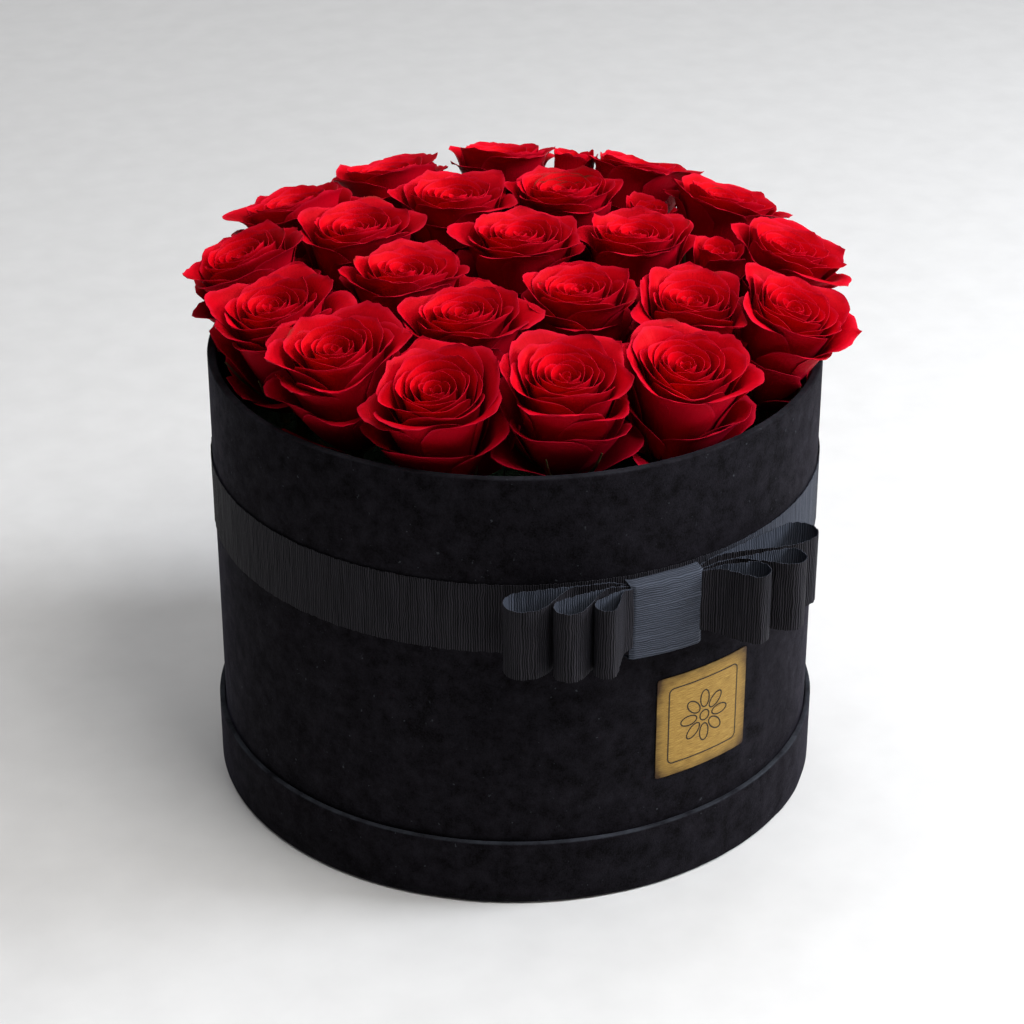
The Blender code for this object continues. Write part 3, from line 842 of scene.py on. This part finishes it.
def reach(name, angle):
    """How far a rose may open in each plan direction before it presses on the next one."""
    here = PLACES[name][0]
    full = full_size(name)
    sharp = 14.0
    inverse = (1.1 * full) ** -sharp * np.ones_like(angle)
    if hypot(here.x, here.y) > 90 * MM:
        outwards = np.maximum(np.cos(angle - atan2(here.y, here.x)), 0.02)
        inverse = inverse + (outwards / (0.93 * full)) ** sharp
    for other in ROSES:
        apart = PLACES[other][0] - here
        distance = hypot(apart.x, apart.y)
        if other == name or distance > 80 * MM:
            continue
        border = distance * full / (full + full_size(other)) + 0.9 * MM
        facing = np.maximum(np.cos(angle - atan2(apart.y, apart.x)), 0.02)
        inverse = inverse + (facing / border) ** sharp
    return inverse ** (-1 / sharp)


def petal(form, seed, rows, columns):
    """One petal of a rose 30.5 mm in radius: (angle offset, radius, height, u, v) grids.

    The form gives: age from 0 at the heart to 1 outside, half the angle it covers in
    degrees, its rim's radius and height, how far the rim rolls out and down, how much
    its corners are rounded, and the share of its length hidden in the cup.
    """
    u = np.linspace(-1, 1, columns)[:, None]
    v = 1 - (1 - np.linspace(0, 1, rows)[None, :]) ** 1.6
    t, rim_r, rim_z = form["age"], form["radius"], form["height"]
    edge = np.abs(u)
    rounding = 1 - form["round"] * edge ** 2.8 + 0.016 * np.maximum(0, 1 - edge / 0.25)
    ragged = 1 + (0.003 + 0.007 * t) * noise2(u * 6.5 + seed, 0 * v + 7, seed)
    ragged = ragged + 0.004 * t * noise2(u * 19 + seed, 0 * v + 9, seed)
    s = form["hidden"] + (1 - form["hidden"]) * v * rounding * ragged
    r = bezier(2.2 + 1.8 * t, 0.5 * rim_r + 3.2, 0.83 * rim_r + 1.6 * (1 - t), rim_r, s)
    z = bezier(2.5, 0.25 * rim_z, 0.64 * rim_z, rim_z, s)
    top = smooth(0.7, 1.0, s)
    lip = np.clip((s - 0.93 + 0.05 * t) / (0.07 + 0.05 * t), 0, 1)
    waves = noise2(u * 1.6 + 13 + seed, 0 * v + 1.7 * t, seed + 1)
    ripples = noise2(u * 4.6 + 3 + seed, v * 1.5, seed + 2) + 0.4 * noise2(u * 12 + seed, v * 2, seed + 3)
    roll = form["curl"] * (1 + 0.5 * waves + 0.35 * edge ** 2)
    peak = 2.2 * t ** 3 * np.maximum(0, 1 - edge / 0.4) ** 1.2
    r = r + (0.35 * top ** 2 + 0.65 * lip ** 1.4) * roll + lip * (peak + (0.1 + 0.55 * t) * ripples)
    z = z - lip ** 2.6 * form["drop"] * (1 + 0.5 * waves + 0.4 * edge) + lip * (0.1 + 0.7 * t) * ripples
    r = r + (0.6 + 0.7 * t) * u * s + (0.3 + 0.6 * t) * edge ** 4 * s ** 2
    taper = 0.55 + 0.45 * smooth(0.0, 0.6, s)
    return form["width"] * u * taper, r, z, u + 0 * v, v + 0 * u


def petal_forms(bud, rng):
    """Forms of every petal of a rose, heart first, then the guard petals below."""
    count = 12 if bud else 23
    for k in range(count):
        t = k / (count - 1)
        jitter = rng.uniform(-1, 1, 3)
        # The shade value darkens a petal's colour; the outermost spiral petals get a little of it.
        yield {"age": t, "shade": 0.42 * t ** 4,
               "width": 90 - 26 * t + 6 * jitter[0],
               "radius": 1.2 + 21.8 * t + 0.7 * jitter[1],
               "height": 58.7 - 5.0 * (1 - t) ** 1.25 + (0.4 + 0.7 * t) * jitter[2],
               "curl": 0.35 + 2.6 * t ** 1.1 + 1.4 * t ** 6,
               "drop": 0.1 + 0.8 * t ** 1.5 + 1.2 * t ** 5,
               "round": 0.13 + 0.07 * t,
               "hidden": 0.6 * (1 - smooth(0.45, 0.85, t))}
    # Guard petal rings: count, height, radius, width, curl, drop and shade. Shade darkens a ring's colour,
    # from 0.4 on the lip to 0.9 on the lowest ring, where it is painted shade between the blooms.
    rings = ((3, 57.0, 23.8, 62, 4.4, 3.2, 0.4), (2, 51.0, 23.2, 58, 3.4, 3.0, 0.5),
             (4, 39.0, 25.2, 52, 2.6, 1.0, 0.65), (4, 26.0, 27.5, 40, 3.0, 1.0, 0.9))
    if bud:
        rings = ((3, 50.0, 25.0, 60, 4.0, 2.0, 0.4), (3, 40.0, 26.0, 55, 4.0, 2.0, 0.6))
    for number, height, radius, width, curl, drop, shade in rings:
        for k in range(number):
            jitter = rng.uniform(-1, 1, 4)
            yield {"age": 1.0, "shade": shade, "width": width + 5 * jitter[0],
                   "radius": radius + 0.5 * jitter[1], "height": height + 2.0 * jitter[2],
                   "curl": curl * (1 + 0.4 * jitter[3]), "drop": drop, "round": 0.26, "hidden": 0.0}


def rose_axes(axis):
    """Unit vectors across, across and along a rose."""
    turn = Vector((0, 0, 1)).rotation_difference(axis)
    return [np.array(turn @ Vector(e)) for e in ((1, 0, 0), (0, 1, 0), (0, 0, 1))]


def in_the_box(points):
    """Keep petals off the lining below the rim, and let them spill over it above.

    They start to spill one mesh step above the rim, so that no face cuts its corner.
    """
    lining = levels("box_cover")[0] - 0.8 * MM
    free = levels("box_cover")[3] + 5 * MM
    radius = np.hypot(points[..., 0], points[..., 1])
    most = lining + np.maximum(0, points[..., 2] - free) * 3
    share = np.minimum(1, most / np.maximum(radius, 1e-9))
    out = points.copy()
    out[..., :2] *= share[..., None]
    return out


def add_rose(number, name):
    """One rose: its petals at the golden angle in one piece, then its stem."""
    centre, axis = PLACES[name]
    bud = "bud" in name
    rng = np.random.default_rng(500 + number)
    full = full_size(name)
    ex, ey, ez = rose_axes(axis)
    raised = (5 if bud else 3) * MM * smooth(30, 100, centre.y / MM)
    neck = np.array(centre) - (BLOOM - raised) * ez
    turn = rng.uniform(0, 360)
    handed = 1 if number % 3 else -1
    tilt, facing = 0.05 * rng.uniform(0.3, 1), rng.uniform(0, 2 * pi)
    shift = rng.uniform(-1.3, 1.3, 2)
    golden_angle = 137.508
    points, quads, spots, faces_side = [], [], [], []
    base = 0
    for k, form in enumerate(petal_forms(bud, rng)):
        turn += golden_angle + rng.uniform(-10, 10)
        large = form["age"] > 0.5 and form["height"] > 45
        angle, r, z, u, v = petal(form, 31 * number + k, 13 if large else 9, 27 if large else 15)
        angle = handed * np.radians(turn + angle)
        spread = 1 + (0.08 if form["age"] == 1.0 else 0) * form["shade"]
        share = reach(name, angle) * spread / full
        r = r * full / OPEN
        r = r * (1 - smooth(0.3, 1.0, r * MM / full) * (1 - share))
        z = z + tilt * r * np.cos(angle - facing)
        east = r * np.cos(angle) + shift[0] * (1 - form["age"])
        north = r * np.sin(angle) + shift[1] * (1 - form["age"])
        plan = east[..., None] * ex + north[..., None] * ey
        grid = in_the_box(neck + MM * (plan + z[..., None] * ez))
        some, sides = shell(grid, (0.4 - 0.28 * v) * MM)
        spot = np.stack([u, v, np.full_like(u, rng.uniform(0, 1))], -1).reshape(-1, 3)
        flat = np.zeros_like(spot)
        # The petal's shade value goes to the material, which darkens its colour with it: painted shade on
        # the low guard petals.
        flat[:, 1] = form["shade"]
        out = flat.copy()
        out[:, 0] = 1.0
        points.append(some)
        quads.append(sides + base)
        spots.extend([spot, spot])
        faces_side.extend([out, flat] if handed > 0 else [flat, out])
        base += len(some)
    mesh_piece(name + "_petals", np.concatenate(points), np.concatenate(quads), PETAL, "insert",
               (name,), {"petal": np.concatenate(spots), "face": np.concatenate(faces_side)})
    add_stem(name, neck, (ex, ey, ez), full / OPEN, rng)


def tube_grid(spine, radii, sides):
    """Rings of a tube whose spine is nearly upright."""
    turn = 2 * pi * np.arange(sides) / sides
    ring = np.stack([np.cos(turn), np.sin(turn), 0 * turn], -1)
    return spine[:, None, :] + radii[:, None, None] * ring[None, :, :]


def add_stem(name, neck, axes, scale, rng):
    """Green stem with a swollen hip under the cup, and five sepals bent along it."""
    ex, ey, ez = axes
    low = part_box(name)[0].z
    heights = np.concatenate([np.linspace(low, neck[2] - 6 * MM, 8), neck[2] + np.linspace(-3, 9, 7) * MM])
    spine = np.stack([np.full(15, neck[0]), np.full(15, neck[1]), heights], -1)
    hip = np.array([2.6] * 8 + [2.8, 3.4, 4.6, 5.4, 5.2, 4.2, 2.5]) * MM * (0.6 + 0.4 * scale)
    sides = 14
    grid = tube_grid(spine, hip, sides)
    points = [grid.reshape(-1, 3), spine[[0, -1]]]
    i, j = np.arange(14)[:, None], np.arange(sides)
    k = (j + 1) % sides
    wall = np.stack([(i * sides + j), (i * sides + k), ((i + 1) * sides + k), ((i + 1) * sides + j)], -1)
    quads = [wall.reshape(-1, 4)]
    base = 15 * sides + 2
    for s in range(5):
        turn = 2 * pi * s / 5 + rng.uniform(-0.2, 0.2)
        away = np.cos(turn) * ex + np.sin(turn) * ey
        side = -np.sin(turn) * ex + np.cos(turn) * ey
        t = np.linspace(0, 1, 9)[:, None, None]
        w = np.linspace(-1, 1, 5)[None, :, None]
        length = rng.uniform(24, 32) * scale
        out = bezier(3.5, 12.0, 20.0, 23.5 + rng.uniform(-1, 4), t) * scale
        up = bezier(4.0, 4.0, 0.45 * length, length, t)
        wide = 3.2 * np.sin(pi * np.minimum(0.98, 0.15 + 0.85 * t) ** 0.8) * (1 - t) ** 0.4
        lift = 1.0 * w ** 2
        sheet = neck + MM * ((out + lift) * away + up * ez + wide * w * side)
        some, faces = shell(in_the_box(sheet), 0.4 * MM)
        points.append(some)
        quads.append(faces + base)
        base += len(some)
    mesh_piece(name + "_stem", np.concatenate(points), np.concatenate(quads), GREEN, "insert")


def add_roses():
    for number, name in enumerate(ROSES):
        add_rose(number, name)


# ---------------------------------------------------------------- floor, light and camera

def direction(azimuth, elevation):
    """Unit vector from the object towards a lamp or the camera."""
    turn, rise = radians(azimuth), radians(elevation)
    return Vector((sin(turn) * cos(rise), -cos(turn) * cos(rise), sin(rise)))


def aimed(name, data, away, target, distance):
    """Object that looks back along `away` at the target."""
    obj = bpy.data.objects.new(name, data)
    bpy.context.scene.collection.objects.link(obj)
    obj.location = target + distance * away
    obj.rotation_euler = away.to_track_quat("Z", "Y").to_euler()
    return obj


def area_light(name, azimuth, elevation, distance, size, power, colour):
    """Round soft lamp."""
    data = bpy.data.lights.new(name, "AREA")
    data.shape = "DISK"
    data.size = size
    data.energy = power
    data.color = colour
    aimed(name, data, direction(azimuth, elevation), Vector((0, 0, 0.15)), distance)


def sun_light(name, azimuth, elevation, spread, power):
    """Even light from far away, over `spread` degrees of the sky."""
    data = bpy.data.lights.new(name, "SUN")
    data.angle = radians(spread)
    data.energy = power
    aimed(name, data, direction(azimuth, elevation), Vector((0, 0, 0)), 0)


def add_stage():
    """Pale paper floor, soft lamps and a plain bright surround."""
    mesh = bpy.data.meshes.new("floor")
    half, level = 20.0, -0.4 * MM
    corners = [(-half, -half), (half, -half), (half, half), (-half, half)]
    mesh.from_pydata([(x, y, level) for x, y in corners], [], [(0, 1, 2, 3)])
    made, tree, shader = new_material("floor_paper")
    grain = noise_node(tree, place(tree), 40, 3, 0.5)
    tree.links.new(ramp(tree, grain, (0.3, (0.62, 0.615, 0.61)), (0.7, (0.655, 0.65, 0.645))),
                   shader.inputs["Base Color"])
    shader.inputs["Roughness"].default_value = 0.8
    mesh.materials.append(made)
    floor = bpy.data.objects.new("floor", mesh)
    bpy.context.scene.collection.objects.link(floor)
    world = bpy.data.worlds.new("studio")
    world.use_nodes = True
    tree = world.node_tree
    tree.nodes["Background"].inputs["Color"].default_value = (0.95, 0.965, 1.0, 1)
    seen = node(tree, "ShaderNodeLightPath").outputs["Is Camera Ray"]
    strength = maths(tree, "ADD", 0.16, maths(tree, "MULTIPLY", seen, 0.5))
    tree.links.new(strength, tree.nodes["Background"].inputs["Strength"])
    bpy.context.scene.world = world
    bpy.context.scene.view_settings.view_transform = "Standard"
    area_light("key", 24, 62, 1.8, 1.0, 23, (1.0, 0.985, 0.96))
    area_light("right", 64, 26, 1.7, 0.7, 34, (0.9, 0.94, 1.0))
    area_light("left", -110, 45, 2.2, 1.2, 0.6, (1.0, 0.96, 0.94))
    sun_light("sky", 170, 74, 40, 1.1)


def add_camera():
    """Camera in front of the box, to its left and above it."""
    data = bpy.data.cameras.new("camera")
    data.sensor_width = 36.0
    data.lens = 98.44
    data.clip_start = 0.05
    data.clip_end = 30
    target, distance = Vector((-0.0013, 0.0007, 0.1215)), 1.32
    bpy.context.scene.camera = aimed("camera", data, direction(-26.3, 28.3), target, distance)


add_casings()
add_band()
add_loops()
add_knot()
add_label()
add_motif()
add_roses()
add_stage()
add_camera()
